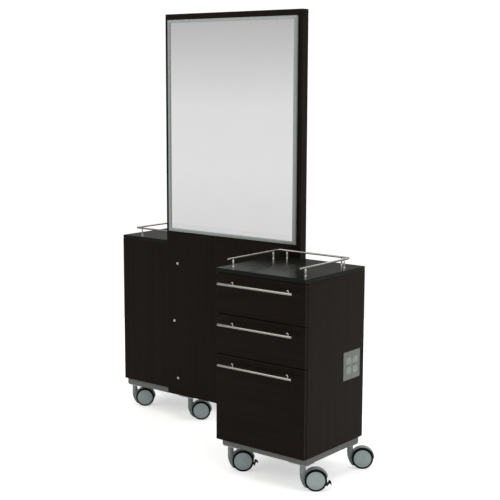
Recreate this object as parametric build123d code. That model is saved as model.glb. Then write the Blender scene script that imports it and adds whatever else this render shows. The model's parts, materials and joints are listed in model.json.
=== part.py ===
"""Double-sided mobile salon styling station.

A tall dark wood panel carries a framed mirror on each face. A three-drawer cabinet stands against
each face, one past the right end of the panel and one past the left end, so the whole station is the
same after half a turn about +Z. Each cabinet rolls on four hooded swivel casters.

Millimetres, +Z up. The origin is on the floor under the centre of the panel. +X runs along the panel
and the right cabinet's drawers open towards -Y.
"""
import os
from math import cos, radians, sin

from build123d import *

# ---- Driving dimensions ---------------------------------------------------------------------------
BODY_Z = 136.5  # floor to the underside of each cabinet
BODY_H = 700.0  # cabinet height with its worktop
CAB_W = 435.0
CAB_D = 405.0  # drawer faces included
CAB_X = 475.5  # cabinet centre from the panel's centre
BOARD = 18.0
EDGE = 0.8  # chamfer along the boards' visible edges

PANEL_W = 750.0
PANEL_T = 40.0
PANEL_Z = 128.5
PANEL_H = 1724.0

MIRROR_FRAME_W = 706.0
MIRROR_FRAME_H = 936.0
MIRROR_FRAME_Z = 890.5  # lower edge
MOULDING = 13.0  # mirror frame moulding, square in section
MOULDING_EDGE = 1.5
GLASS_T = 6.0
GLASS_OFF = 4.0  # air gap behind the glass
GLASS_REBATE = 6.0  # how far the glass enters the moulding
BEVEL_W = 25.0
BEVEL_DROP = 2.5

BUMPER_GAP = 1.0  # between a closed drawer face and the carcass
FACE_INSET = 1.0  # drawer faces inside the cabinet's outer sides
FACE_LEVELS = ((520.0, 680.0), (357.0, 517.0), (1.0, 354.0))  # drawer faces, from the cabinet's underside
BOX_LEVELS = ((538.0, 648.0), (375.0, 485.0), (27.0, 267.0))  # drawer boxes, likewise
BOX_LENGTHS = (330.0, 235.0, 235.0)  # the lower two stop short of the outlet box
BOX_WALL = 12.0
BOX_FLOOR = 6.0
SLIDE_SPACE = 12.7
TRACK_H = 35.0
TRACK_T = 9.5
TRACK_WALL = 1.5
TRACK_INSET = 2.0  # from the carcass front and from the box's back
RUNNER_H = 26.0
RUNNER_INSET = 5.0  # from each end of the drawer box
RUNNER_GAP = 1.0  # to the track's web
SLIDE_MAX_UP = 60.0  # slides of a deep drawer stay low

HANDLE_LEN = 360.0
HANDLE_D = 10.0
HANDLE_REACH = 35.0
HANDLE_POST_D = 8.0
HANDLE_POSTS = 270.0  # centre to centre
HANDLE_DROP = 36.0  # below the face's top edge

RAIL_D = 8.0
RAIL_UP = 33.0  # tube axis above the worktop
RAIL_SIDE = 42.0
RAIL_BACK = 45.0
RAIL_FRONT = 22.0
RAIL_BEND = 14.0
RAIL_POST_D = 6.5
RAIL_POST_FRONT = 35.0  # side posts from the tube's open ends
RAIL_POST_REAR = 41.0  # side posts from the back run
RAIL_POST_IN = 40.0  # back posts from the side runs
COLLAR_D = 10.5
COLLAR_H = 2.0

BASE_INSET = 10.0
BASE_TUBE = 30.0
BASE_WALL = 2.0
CASTER_PLATE = (86.0, 60.0, 3.0)
PLATE_EDGE = 1.0  # plates from the base frame's outer edges
PLATE_CORNER = 5.0
SWIVEL_IN_X = 28.0  # swivel axis from the base frame's outer edges
SWIVEL_IN_Y = 18.0

WHEEL_R = 43.5
DISC_R = 36.0
WHEEL_W = 12.0
WHEEL_IN = 7.0  # inner face of each wheel from the caster's middle plane
TRAIL = 50.5
LEG_R = 11.5
AXLE_D = 8.0
KINGPIN_D = 10.0
KINGPIN_LEN = 22.0
SWIVEL_GAP = 0.5  # leg top below its plate
RUNNING = 0.05  # radial clearance of a shaft in its bore
TYRE_EDGE = 2.5
HOOD_R = 49.0
HOOD_GAP = 1.5  # tyre to hood
HOOD_W = 26.0
HOOD_BACK = 138.0  # end of the hood on the leg's side, degrees round the axle
HOOD_FRONT_BRAKED = 18.0
HOOD_FRONT_PLAIN = 2.0
WEB_T = 12.0
CHIN_R = 38.5  # lower edge of the web, round the axle
CHIN_SWEEP = (245.0, 335.0)  # degrees round the axle
SHOULDER_UP = 4.0  # where the leg meets the hood, above the hood's end
LEG_BEND_Z = 65.0  # where the leg's straight back edge turns into an arc
LEG_BACK_R = 78.0
LEG_BACK_SWEEP = 44.0  # degrees
TRAIL_ANGLE = 37.0  # how far the casters are swung from +X

LUG_D = 12.0
LUG_NECK = ((-12.0, -2.0), (-4.0, 6.0))  # reach and height from the pin, as are the next two
LUG_SLOT = ((-8.0, 10.0), (-9.0, 12.0))
LEVER_ARM = ((0.0, 11.5), (-3.0, 4.0))
LEVER_PIN_D = 4.0
LEVER_T = 6.0
LEVER_GAP = 0.3  # lever to each cheek of its lug
LEVER_UP = 6.0  # tilt of a released lever
LEVER_DOWN = -20.0  # tilt of a pressed lever
LEVER_BARREL_D = 10.0
PEDAL_W = 18.0
PEDAL_HOOK = ((8.5, 12), (12.5, 14.5), (17, 13), (21, 8.5), (23.5, 3), (22.5, 1.5), (19, 5), (15.5, 6.5))
PEDAL_HEEL = ((13, 4), (11.5, -3), (9, -8), (4.5, -8), (6, -4), (7.3, 2), (8, 8))

OUTLET_Y = -106.5  # plate centre, on the right cabinet's outer side
OUTLET_Z = 450.5
PLATE_W = 116.0
PLATE_H = 114.5
PLATE_T = 2.0
PLATE_SLOPE = 1.2  # chamfer round the plate's face
PLATE_SCREW_D = 3.6
PLATE_SCREW_EDGE = 1.0
PLATE_SCREW_SLOT = 1.0
PLATE_HOLE_D = 4.0
SOCKET_HOLE = 1.02  # the plate's openings over the socket faces
PLATE_SCREW_HEAD = (6.4, 1.4)  # diameter, height
OUTLET_BOX = (58.0, 98.0, 92.0)  # depth, width, height
OUTLET_BOX_WALL = 1.6
OUTLET_CUT = 1.0  # the side board's cutout over the box
RECEPTACLE = (28.0, 33.0, 68.0)
RECEPTACLE_SET = 1.0  # body behind the side board's face
SOCKET_PROUD = 0.6  # of the plate
SOCKET_R = 17.2
SOCKET_FLAT = 14.2
SOCKET_STEP = 39.0  # between the two sockets of one receptacle
BLADE_SLOTS = ((-6.4, 8.0), (6.4, 6.6))  # offset and height
BLADE_SLOT_W = 1.8
BLADE_SLOT_UP = 3.0
GROUND_D = 4.8
GROUND_DOWN = 7.5
SOCKET_DEEP = 7.0  # slots and ground hole, from the side board's face
GANG_STEP = 46.0

BOLT_SPOTS = ((-310.0, 742.5), (-330.0, 475.5), (-310.0, 207.5))
BOLT_D = 6.0
BOLT_HEAD_D = 12.0
BOLT_HEAD_T = 3.0
BOLT_HEAD_EDGE = 1.2
BOLT_HOLE_D = 6.4
BOLT_SHORT = 2.0  # bolt end inside the back board

# ---- Sizes that follow ----------------------------------------------------------------------------
PANEL_Y = -PANEL_T / 2  # the panel's front face
CAB_LEFT = CAB_X - CAB_W / 2
CAB_RIGHT = CAB_X + CAB_W / 2
FACE_Y = PANEL_Y - CAB_D  # front of the drawer faces
CARCASS_Y = FACE_Y + BOARD + BUMPER_GAP
TOP_Z = BODY_Z + BODY_H
CARCASS_H = BODY_H - BOARD
BASE_X = (CAB_LEFT + BASE_INSET, CAB_RIGHT - BASE_INSET)
BASE_Y = (CARCASS_Y + BASE_INSET, PANEL_Y - BASE_INSET)
BASE_Z = BODY_Z - BASE_TUBE
PLATE_Z = BASE_Z - CASTER_PLATE[2]
SWIVEL_X = (BASE_X[0] + SWIVEL_IN_X, BASE_X[1] - SWIVEL_IN_X)
SWIVEL_Y = (BASE_Y[0] + SWIVEL_IN_Y, BASE_Y[1] - SWIVEL_IN_Y)
LEVER_X = TRAIL + 38.0  # brake lever pivot, in the caster's own frame
LEVER_Z = WHEEL_R - 14.0
LEG_TOP = PLATE_Z - SWIVEL_GAP
GANGS = (OUTLET_Y - GANG_STEP / 2, OUTLET_Y + GANG_STEP / 2)
LEVELS = (OUTLET_Z - SOCKET_STEP / 2, OUTLET_Z + SOCKET_STEP / 2)
BOX_X = (CAB_LEFT + BOARD + SLIDE_SPACE, CAB_RIGHT - BOARD - SLIDE_SPACE)
BOX_Y = FACE_Y + BOARD  # back of the drawer face, where the box starts

parts = {}


def block(x, y, z):
    """A box between two corners: each argument is a (low, high) pair."""
    centre = Pos((x[0] + x[1]) / 2, (y[0] + y[1]) / 2, (z[0] + z[1]) / 2)
    return centre * Box(x[1] - x[0], y[1] - y[0], z[1] - z[0])


def rod(start, end, diameter):
    """A round bar between two points."""
    start, end = Vector(*start), Vector(*end)
    line = end - start
    plane = Plane(origin=start, z_dir=line)
    return extrude(plane * Circle(diameter / 2), line.length)


def turned(shapes):
    """The same solids half a turn round +Z: the left half of the station."""
    return [shape.rotate(Axis.Z, 180) for shape in shapes]


def both_ways(name, shapes):
    """One node for the right half and its twin for the left half."""
    parts[f"right_{name}"] = shapes
    parts[f"left_{name}"] = turned(shapes)


# ---- Panel and mirrors ----------------------------------------------------------------------------
def bolt_holes():
    """Clearance holes for the bolts that join the panel to the left cabinet's back."""
    reach = PANEL_T / 2 + BOARD + 1
    return [rod((x, -reach, z), (x, reach, z), BOLT_HOLE_D) for x, z in BOLT_SPOTS]


def mirror_panel():
    panel = block((-PANEL_W / 2, PANEL_W / 2), (-PANEL_T / 2, PANEL_T / 2), (PANEL_Z, PANEL_Z + PANEL_H))
    panel = chamfer(panel.edges(), EDGE)
    for hole in bolt_holes() + turned(bolt_holes()):
        panel -= hole
    return [panel]


def panel_bolts():
    """Three cap-headed bolts on each face; each passes the panel into a cabinet's back board."""
    bolts = []
    for x, z in BOLT_SPOTS:
        shank = rod((x, PANEL_Y, z), (x, BOARD - PANEL_Y - BOLT_SHORT, z), BOLT_D)
        head = rod((x, PANEL_Y - BOLT_HEAD_T, z), (x, PANEL_Y, z), BOLT_HEAD_D)
        head = fillet(head.faces().sort_by(Axis.Y)[0].edges(), BOLT_HEAD_EDGE)
        bolts.append(shank + head)
    return bolts + turned(bolts)


def mitred_bars(half_w, half_h, width):
    """The four mitred bars of a frame lying on XY: each unturned bar, its offset, half length and turn."""
    quarters = ((half_w, half_h, 0), (half_h, half_w, 90), (half_w, half_h, 180), (half_h, half_w, 270))
    for across, along, spin in quarters:
        inner, corner = across - width, along - width
        outline = Polyline((across, -along), (across, along), (inner, corner), (inner, -corner), close=True)
        yield extrude(make_face(outline), width), across, along, spin


def bevelled_glass():
    """The mirror plate: its front face slopes away along all four edges."""
    half_w = MIRROR_FRAME_W / 2 - MOULDING + GLASS_REBATE
    low = MIRROR_FRAME_Z + MOULDING - GLASS_REBATE
    high = MIRROR_FRAME_Z + MIRROR_FRAME_H - MOULDING + GLASS_REBATE
    back = PANEL_Y - GLASS_OFF
    front = back - GLASS_T
    deep = front + BEVEL_DROP
    slope = BEVEL_W + GLASS_REBATE
    glass = block((-half_w, half_w), (front, back), (low, high))
    for side in (-1, 1):
        edge = side * half_w
        wedge = Polyline((edge, front), (edge, deep), (edge - side * slope, front), close=True)
        glass -= Pos(0, 0, low) * extrude(make_face(wedge), high - low)
    for edge, way in ((low, 1), (high, -1)):
        wedge = Plane.YZ * Polyline((front, edge), (deep, edge), (front, edge + way * slope), close=True)
        glass -= Pos(-half_w, 0, 0) * extrude(make_face(wedge), 2 * half_w)
    return [glass]


def mirror_frame():
    """Four mitred lengths of moulding with a groove that holds the glass."""
    half_w, half_h = MIRROR_FRAME_W / 2, MIRROR_FRAME_H / 2
    middle_z = MIRROR_FRAME_Z + half_h
    lip = MOULDING - GLASS_REBATE
    groove_y = PANEL_Y - GLASS_OFF - GLASS_T / 2
    groove = Pos(0, groove_y, middle_z) * Box(2 * (half_w - lip), GLASS_T, 2 * (half_h - lip))
    lengths = []
    for bar, _, _, spin in mitred_bars(half_w, half_h, MOULDING):
        bar = chamfer(bar.faces().sort_by(Axis.Z)[-1].edges().filter_by(Axis.Y), MOULDING_EDGE)
        bar = bar.rotate(Axis.Z, spin).rotate(Axis.X, 90)
        lengths.append(Pos(0, PANEL_Y, middle_z) * bar - groove)
    return lengths


# ---- Cabinet --------------------------------------------------------------------------------------
def outlet_cutout():
    _, width, height = OUTLET_BOX
    cut = Box(2 * BOARD, width + OUTLET_CUT, height + OUTLET_CUT)
    return Pos(CAB_RIGHT - BOARD / 2, OUTLET_Y, OUTLET_Z) * cut


def cabinet_sides():
    z = (BODY_Z, BODY_Z + CARCASS_H)
    y = (CARCASS_Y, PANEL_Y)
    inner = block((CAB_LEFT, CAB_LEFT + BOARD), y, z)
    outer = block((CAB_RIGHT - BOARD, CAB_RIGHT), y, z) - outlet_cutout()
    return [inner, outer]


def cabinet_bottom():
    x = (CAB_LEFT + BOARD, CAB_RIGHT - BOARD)
    return [block(x, (CARCASS_Y, PANEL_Y - BOARD), (BODY_Z, BODY_Z + BOARD))]


def cabinet_back():
    z = (BODY_Z, BODY_Z + CARCASS_H)
    board = block((CAB_LEFT + BOARD, CAB_RIGHT - BOARD), (PANEL_Y - BOARD, PANEL_Y), z)
    for hole in turned(bolt_holes()):
        board -= hole
    return [board]


def worktop():
    slab = block((CAB_LEFT, CAB_RIGHT), (FACE_Y, PANEL_Y), (TOP_Z - BOARD, TOP_Z))
    return [chamfer(slab.edges(), EDGE)]


def gallery_rail():
    """A bent tube, open to the front, on six short posts with a collar at each foot."""
    left, right = CAB_LEFT + RAIL_SIDE, CAB_RIGHT - RAIL_SIDE
    front, back = FACE_Y + RAIL_FRONT, PANEL_Y - RAIL_BACK
    height = TOP_Z + RAIL_UP
    corners = [(left, front), (left, back), (right, back), (right, front)]
    path = FilletPolyline(*[(x, y, height) for x, y in corners], radius=RAIL_BEND)
    section = Plane(origin=(left, front, height), z_dir=(0, 1, 0)) * Circle(RAIL_D / 2)
    solids = [sweep(section, path)]
    side_spots = [(x, y) for x in (left, right) for y in (front + RAIL_POST_FRONT, back - RAIL_POST_REAR)]
    back_spots = [(left + RAIL_POST_IN, back), (right - RAIL_POST_IN, back)]
    for x, y in side_spots + back_spots:
        post = rod((x, y, TOP_Z), (x, y, height), RAIL_POST_D)
        collar = rod((x, y, TOP_Z), (x, y, TOP_Z + COLLAR_H), COLLAR_D)
        solids.append(post + collar - solids[0])
    return solids


def base_frame():
    """Four mitred lengths of square steel tube under the carcass."""
    half_w = (BASE_X[1] - BASE_X[0]) / 2
    half_d = (BASE_Y[1] - BASE_Y[0]) / 2
    middle = Pos((BASE_X[0] + BASE_X[1]) / 2, (BASE_Y[0] + BASE_Y[1]) / 2, BASE_Z)
    hollow = BASE_TUBE - 2 * BASE_WALL
    lengths = []
    for tube, across, along, spin in mitred_bars(half_w, half_d, BASE_TUBE):
        tube -= Pos(across - BASE_TUBE / 2, 0, BASE_TUBE / 2) * Box(hollow, 2 * along, hollow)
        lengths.append(middle * tube.rotate(Axis.Z, spin))
    return lengths


def caster_plates():
    """A welded plate under each corner of the base frame, with the kingpin that a caster turns on."""
    width, depth, _ = CASTER_PLATE
    corners_x = ((BASE_X[0] + PLATE_EDGE, 1, SWIVEL_X[0]), (BASE_X[1] - PLATE_EDGE, -1, SWIVEL_X[1]))
    corners_y = ((BASE_Y[0] + PLATE_EDGE, 1, SWIVEL_Y[0]), (BASE_Y[1] - PLATE_EDGE, -1, SWIVEL_Y[1]))
    plates = []
    for x, way_x, axis_x in corners_x:
        for y, way_y, axis_y in corners_y:
            plate = block(sorted((x, x + way_x * width)), sorted((y, y + way_y * depth)), (PLATE_Z, BASE_Z))
            plate = fillet(plate.edges().filter_by(Axis.Z), PLATE_CORNER)
            pin = rod((axis_x, axis_y, PLATE_Z - KINGPIN_LEN), (axis_x, axis_y, PLATE_Z), KINGPIN_D)
            plates.append(plate + pin)
    return plates


# ---- Outlet ---------------------------------------------------------------------------------------
def socket_face(depth):
    """The face of one socket: a circle with a flat above and below."""
    flat = Rectangle(2 * SOCKET_R, 2 * SOCKET_FLAT)
    return extrude(Plane.YZ * (Circle(SOCKET_R) & flat), depth)


def socket_spots():
    return [(y, z) for y in GANGS for z in LEVELS]


def outlet_plate():
    """A cover plate for two double receptacles, held by a screw in the middle of each."""
    plate = Pos(CAB_RIGHT + PLATE_T / 2, OUTLET_Y, OUTLET_Z) * Box(PLATE_T, PLATE_W, PLATE_H)
    plate = chamfer(plate.faces().sort_by(Axis.X)[-1].edges(), PLATE_SLOPE)
    for y, z in socket_spots():
        plate -= Pos(CAB_RIGHT - 1, y, z) * scale(socket_face(PLATE_T + 2), (1, SOCKET_HOLE, SOCKET_HOLE))
    screws = []
    head_d, head_h = PLATE_SCREW_HEAD
    outside = CAB_RIGHT + PLATE_T
    for y in GANGS:
        plate -= rod((CAB_RIGHT - 1, y, OUTLET_Z), (outside + 1, y, OUTLET_Z), PLATE_HOLE_D)
        head = rod((outside, y, OUTLET_Z), (outside + head_h, y, OUTLET_Z), head_d)
        head = fillet(head.faces().sort_by(Axis.X)[-1].edges(), PLATE_SCREW_EDGE)
        head -= Pos(outside + head_h, y, OUTLET_Z) * Box(head_h, head_d, PLATE_SCREW_SLOT)
        shank = rod((CAB_RIGHT - RECEPTACLE_SET / 2, y, OUTLET_Z), (outside, y, OUTLET_Z), PLATE_SCREW_D)
        screws.append(head + shank)
    return [plate] + screws


def receptacle(gang):
    """One double receptacle, with two blade slots and a ground hole in each of its sockets."""
    front = CAB_RIGHT - RECEPTACLE_SET
    body = Pos(front - RECEPTACLE[0] / 2, gang, OUTLET_Z) * Box(*RECEPTACLE)
    proud = PLATE_T + SOCKET_PROUD
    for z in LEVELS:
        body += Pos(front - 1, gang, z) * socket_face(proud + RECEPTACLE_SET + 1)
        for offset, height in BLADE_SLOTS:
            blade = Box(2 * SOCKET_DEEP, BLADE_SLOT_W, height)
            body -= Pos(CAB_RIGHT, gang + offset, z + BLADE_SLOT_UP) * blade
        ground = z - GROUND_DOWN
        hole_end = CAB_RIGHT + proud + 1
        body -= rod((CAB_RIGHT - SOCKET_DEEP, gang, ground), (hole_end, gang, ground), GROUND_D)
    return body


def outlet_box():
    """The steel box in the cabinet's side and the two double receptacles that it holds."""
    depth, width, height = OUTLET_BOX
    inner = (depth - OUTLET_BOX_WALL, width - 2 * OUTLET_BOX_WALL, height - 2 * OUTLET_BOX_WALL)
    shell = Pos(CAB_RIGHT - depth / 2, OUTLET_Y, OUTLET_Z) * Box(depth, width, height)
    shell -= Pos(CAB_RIGHT - inner[0] / 2, OUTLET_Y, OUTLET_Z) * Box(*inner)
    return [shell] + [receptacle(gang) for gang in GANGS]


# ---- Drawers --------------------------------------------------------------------------------------
def slide_level(drawer):
    """Height of a drawer's slides: halfway up its box, or low on a deep one."""
    low, high = BOX_LEVELS[drawer]
    return BODY_Z + low + min((high - low) / 2, SLIDE_MAX_UP)


def drawer_face(drawer):
    low, high = FACE_LEVELS[drawer]
    x = (CAB_LEFT + FACE_INSET, CAB_RIGHT - FACE_INSET)
    face = block(x, (FACE_Y, BOX_Y), (BODY_Z + low, BODY_Z + high))
    return [chamfer(face.faces().sort_by(Axis.Y)[0].edges(), EDGE)]


def drawer_box(drawer):
    """Front, back, two sides and a floor of board, with a runner screwed to each side."""
    low, high = (BODY_Z + level for level in BOX_LEVELS[drawer])
    y_back = BOX_Y + BOX_LENGTHS[drawer]
    inside = (BOX_X[0] + BOX_WALL, BOX_X[1] - BOX_WALL)
    boards = [
        block((BOX_X[0], inside[0]), (BOX_Y, y_back), (low, high)),
        block((inside[1], BOX_X[1]), (BOX_Y, y_back), (low, high)),
        block(inside, (BOX_Y, BOX_Y + BOX_WALL), (low, high)),
        block(inside, (y_back - BOX_WALL, y_back), (low, high)),
        block(inside, (BOX_Y + BOX_WALL, y_back - BOX_WALL), (low, low + BOX_FLOOR)),
    ]
    level = slide_level(drawer)
    reach = SLIDE_SPACE - TRACK_WALL - RUNNER_GAP
    y = (BOX_Y + RUNNER_INSET, y_back - RUNNER_INSET)
    z = (level - RUNNER_H / 2, level + RUNNER_H / 2)
    sides = ((BOX_X[0] - reach, BOX_X[0]), (BOX_X[1], BOX_X[1] + reach))
    runners = [block(x, y, z) for x in sides]
    return boards + runners


def drawer_handle(drawer):
    """A straight round bar on two posts."""
    level = BODY_Z + FACE_LEVELS[drawer][1] - HANDLE_DROP
    bar_y = FACE_Y - HANDLE_REACH
    bar = rod((CAB_X - HANDLE_LEN / 2, bar_y, level), (CAB_X + HANDLE_LEN / 2, bar_y, level), HANDLE_D)
    bar = chamfer(bar.edges().filter_by(GeomType.CIRCLE), EDGE)
    solids = [bar]
    for way in (-1, 1):
        x = CAB_X + way * HANDLE_POSTS / 2
        solids.append(rod((x, FACE_Y, level), (x, bar_y, level), HANDLE_POST_D) - bar)
    return solids


def drawer_tracks():
    """C-shaped tracks on the cabinet's sides, two for each drawer."""
    solids = []
    for drawer, length in enumerate(BOX_LENGTHS):
        level = slide_level(drawer)
        y = (CARCASS_Y + TRACK_INSET, BOX_Y + length - TRACK_INSET)
        z = (level - TRACK_H / 2, level + TRACK_H / 2)
        groove_z = (z[0] + TRACK_WALL, z[1] - TRACK_WALL)
        for side, way in ((CAB_LEFT + BOARD, 1), (CAB_RIGHT - BOARD, -1)):
            groove_x = sorted((side + way * TRACK_WALL, side + way * (TRACK_T + 1)))
            solids.append(block(sorted((side, side + way * TRACK_T)), y, z) - block(groove_x, y, groove_z))
    return solids


# ---- Casters, built with the swivel axis on +Z and the wheel trailing along +X ---------------------
def round_axle(radius, angle):
    """A point in the caster's middle plane, as (x, z), by its radius and angle round the axle."""
    return TRAIL + radius * cos(radians(angle)), WHEEL_R + radius * sin(radians(angle))


def leg_back(angle):
    """A point on the arc that carries the leg's back edge down towards the web."""
    x = LEG_BACK_R - LEG_R - LEG_BACK_R * cos(radians(angle))
    return x, LEG_BEND_Z - LEG_BACK_R * sin(radians(angle))


def caster_web(hood_front):
    """The flat leg and web between the wheels, standing in the XZ plane."""
    hood_start, hood_middle, hood_stop = (
        round_axle(HOOD_R, angle) for angle in (HOOD_BACK, (HOOD_BACK + hood_front) / 2, hood_front)
    )
    chin_start, chin_middle, chin_stop = (
        round_axle(CHIN_R, angle) for angle in (CHIN_SWEEP[0], sum(CHIN_SWEEP) / 2, CHIN_SWEEP[1])
    )
    shoulder = (LEG_R, hood_start[1] + SHOULDER_UP)
    outline = [
        Line((LEG_R, LEG_TOP), (-LEG_R, LEG_TOP)),
        Line((-LEG_R, LEG_TOP), leg_back(0)),
        ThreePointArc(leg_back(0), leg_back(LEG_BACK_SWEEP / 2), leg_back(LEG_BACK_SWEEP)),
        Line(leg_back(LEG_BACK_SWEEP), chin_start),
        ThreePointArc(chin_start, chin_middle, chin_stop),
        Line(chin_stop, hood_stop),
        ThreePointArc(hood_stop, hood_middle, hood_start),
        Line(hood_start, shoulder),
        Line(shoulder, (LEG_R, LEG_TOP)),
    ]
    return Pos(0, WEB_T / 2, 0) * extrude(Plane.XZ * make_face(outline), WEB_T)


def caster_hood(hood_front):
    """The curved cover over the tyres."""
    ring = Circle(HOOD_R) - Circle(WHEEL_R + HOOD_GAP)
    angles = (hood_front, (hood_front + HOOD_BACK) / 2, HOOD_BACK)
    far = [(2 * HOOD_R * cos(radians(a)), 2 * HOOD_R * sin(radians(a))) for a in angles]
    wedge = make_face(Polyline((0, 0), *far, close=True))
    return Pos(TRAIL, HOOD_W / 2, WHEEL_R) * extrude(Plane.XZ * (ring & wedge), HOOD_W)


def by_pin(reach, half, height):
    """A block round the lever pin: its reach and height are measured from the pin."""
    (x0, x1), (z0, z1) = reach, height
    return block((LEVER_X + x0, LEVER_X + x1), (-half, half), (LEVER_Z + z0, LEVER_Z + z1))


def lever_lug():
    """The forked lug behind the web, with the pin of the brake lever across it."""
    half = WEB_T / 2
    ends = (LEVER_X, -half, LEVER_Z), (LEVER_X, half, LEVER_Z)
    lug = rod(*ends, LUG_D) + by_pin(LUG_NECK[0], half, LUG_NECK[1])
    gap = by_pin(LUG_SLOT[0], LEVER_T / 2 + LEVER_GAP, LUG_SLOT[1])
    return lug, gap, rod(*ends, LEVER_PIN_D)


def caster_fork(braked):
    """Leg, web and hood moulded as one, bored for the kingpin and the axle."""
    hood_front = HOOD_FRONT_BRAKED if braked else HOOD_FRONT_PLAIN
    fork = rod((0, 0, LEG_BEND_Z + 2), (0, 0, LEG_TOP), 2 * LEG_R)
    fork += caster_web(hood_front) + caster_hood(hood_front)
    if braked:
        lug, gap, pin = lever_lug()
        fork = fork + lug - gap + pin
    fork -= rod((0, 0, PLATE_Z - KINGPIN_LEN - 1), (0, 0, PLATE_Z + 1), KINGPIN_D + 2 * RUNNING)
    fork -= rod((TRAIL, -WEB_T, WHEEL_R), (TRAIL, WEB_T, WHEEL_R), AXLE_D + 2 * RUNNING)
    return [fork]


def caster_wheels():
    """Two wheels on one axle, each a disc with a tyre round it."""
    solids = []
    outer = WHEEL_IN + WHEEL_W
    for way in (-1, 1):
        ends = (TRAIL, way * WHEEL_IN, WHEEL_R), (TRAIL, way * outer, WHEEL_R)
        tyre = rod(*ends, 2 * WHEEL_R)
        tyre = fillet(tyre.edges().filter_by(GeomType.CIRCLE), TYRE_EDGE) - rod(*ends, 2 * DISC_R)
        disc = rod(*ends, 2 * DISC_R) - rod(*ends, AXLE_D)
        solids += [tyre, disc]
    solids.append(rod((TRAIL, -outer, WHEEL_R), (TRAIL, outer, WHEEL_R), AXLE_D))
    return solids


def brake_lever(tilt):
    """A hooked foot lever on its pin, turned up from level by tilt degrees; its pedal clears the tyres."""
    half = LEVER_T / 2
    barrel = rod((0, -half, 0), (0, half, 0), LEVER_BARREL_D)
    arm = block(LEVER_ARM[0], (-half, half), LEVER_ARM[1])
    outline = Polyline(*PEDAL_HOOK, *PEDAL_HEEL, close=True)
    pedal = Pos(0, PEDAL_W / 2, 0) * extrude(Plane.XZ * make_face(outline), PEDAL_W)
    lever = barrel + arm + pedal - rod((0, -LEVER_T, 0), (0, LEVER_T, 0), LEVER_PIN_D + 2 * RUNNING)
    return [Pos(LEVER_X, 0, LEVER_Z) * lever.rotate(Axis.Y, -tilt)]


def casters(half, way):
    """The four casters of one cabinet; way is 1 for the right half and -1 for the left.

    The two at the drawers have brake levers, and the outer one of those is pressed down. All wheels
    trail the same way, except that the left cabinet's drawer-side pair is swung half a turn further.
    """
    for side, x in (("inner", SWIVEL_X[0]), ("outer", SWIVEL_X[1])):
        for row, y in (("front", SWIVEL_Y[0]), ("back", SWIVEL_Y[1])):
            swung = (half, row) == ("left", "front")
            place = Pos(way * x, way * y, 0) * Rot(0, 0, TRAIL_ANGLE + (180 if swung else 0))
            name = f"{half}_{row}_{side}"
            braked = row == "front"
            parts[f"{name}_caster_fork"] = [place * solid for solid in caster_fork(braked)]
            parts[f"{name}_caster_wheels"] = [place * solid for solid in caster_wheels()]
            if braked:
                tilt = LEVER_DOWN if side == "outer" else LEVER_UP
                parts[f"{name}_brake_lever"] = [place * solid for solid in brake_lever(tilt)]


# ---- The whole station ----------------------------------------------------------------------------
def build():
    parts["mirror_panel"] = mirror_panel()
    parts["panel_bolts"] = panel_bolts()
    parts["front_mirror"] = bevelled_glass()
    parts["rear_mirror"] = turned(bevelled_glass())
    parts["front_mirror_frame"] = mirror_frame()
    parts["rear_mirror_frame"] = turned(mirror_frame())
    both_ways("cabinet_sides", cabinet_sides())
    both_ways("cabinet_bottom", cabinet_bottom())
    both_ways("cabinet_back", cabinet_back())
    both_ways("worktop", worktop())
    both_ways("gallery_rail", gallery_rail())
    both_ways("base_frame", base_frame())
    for name, make in (
        ("caster_plates", caster_plates),
        ("outlet_plates", outlet_plate),
        ("outlet_boxes", outlet_box),
        ("drawer_tracks", drawer_tracks),
    ):
        parts[name] = make() + turned(make())
    for drawer, place in enumerate(("top", "middle", "bottom")):
        both_ways(f"{place}_drawer_face", drawer_face(drawer))
        both_ways(f"{place}_drawer_box", drawer_box(drawer))
        both_ways(f"{place}_drawer_handle", drawer_handle(drawer))
    casters("right", 1)
    casters("left", -1)


build()
os.makedirs("parts", exist_ok=True)
for name, solids in parts.items():
    node = solids[0] if len(solids) == 1 else Compound(children=[Solid(s.solid().wrapped) for s in solids])
    export_step(node, f"parts/{name}.step")
print(len(parts), "nodes", sum(len(s) for s in parts.values()), "solids")
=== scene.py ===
"""Looks of the double-sided salon styling station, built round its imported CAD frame.

Metres, +Z up, in the frame of the CAD parts. Each detailed piece takes its place from the boxes and
joints of the frame, and rides on the body of the part that it stands for.
"""
import json
from math import atan2, cos, hypot, pi, radians, sin

import bmesh
import bpy
from mathutils import Matrix, Vector


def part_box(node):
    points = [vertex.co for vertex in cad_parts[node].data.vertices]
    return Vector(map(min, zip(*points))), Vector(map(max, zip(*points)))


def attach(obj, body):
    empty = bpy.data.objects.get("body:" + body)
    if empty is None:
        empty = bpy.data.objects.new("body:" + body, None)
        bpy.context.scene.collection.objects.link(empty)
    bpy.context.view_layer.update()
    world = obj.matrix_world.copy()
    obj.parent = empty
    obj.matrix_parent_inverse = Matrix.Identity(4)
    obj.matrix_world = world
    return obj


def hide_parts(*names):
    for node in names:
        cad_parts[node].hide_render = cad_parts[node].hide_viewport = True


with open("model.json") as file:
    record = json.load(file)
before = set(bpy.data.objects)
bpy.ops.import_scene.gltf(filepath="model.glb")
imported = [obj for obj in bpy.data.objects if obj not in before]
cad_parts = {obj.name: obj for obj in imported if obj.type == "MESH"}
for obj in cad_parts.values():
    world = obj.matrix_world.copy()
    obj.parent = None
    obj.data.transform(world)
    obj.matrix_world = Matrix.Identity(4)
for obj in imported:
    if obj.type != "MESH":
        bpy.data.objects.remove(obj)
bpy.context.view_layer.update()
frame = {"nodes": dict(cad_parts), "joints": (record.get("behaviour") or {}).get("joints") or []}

MM = 0.001
JOINTS = {joint["name"]: joint for joint in frame["joints"]}
HALF_TURN = Matrix.Rotation(pi, 4, "Z")

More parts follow.
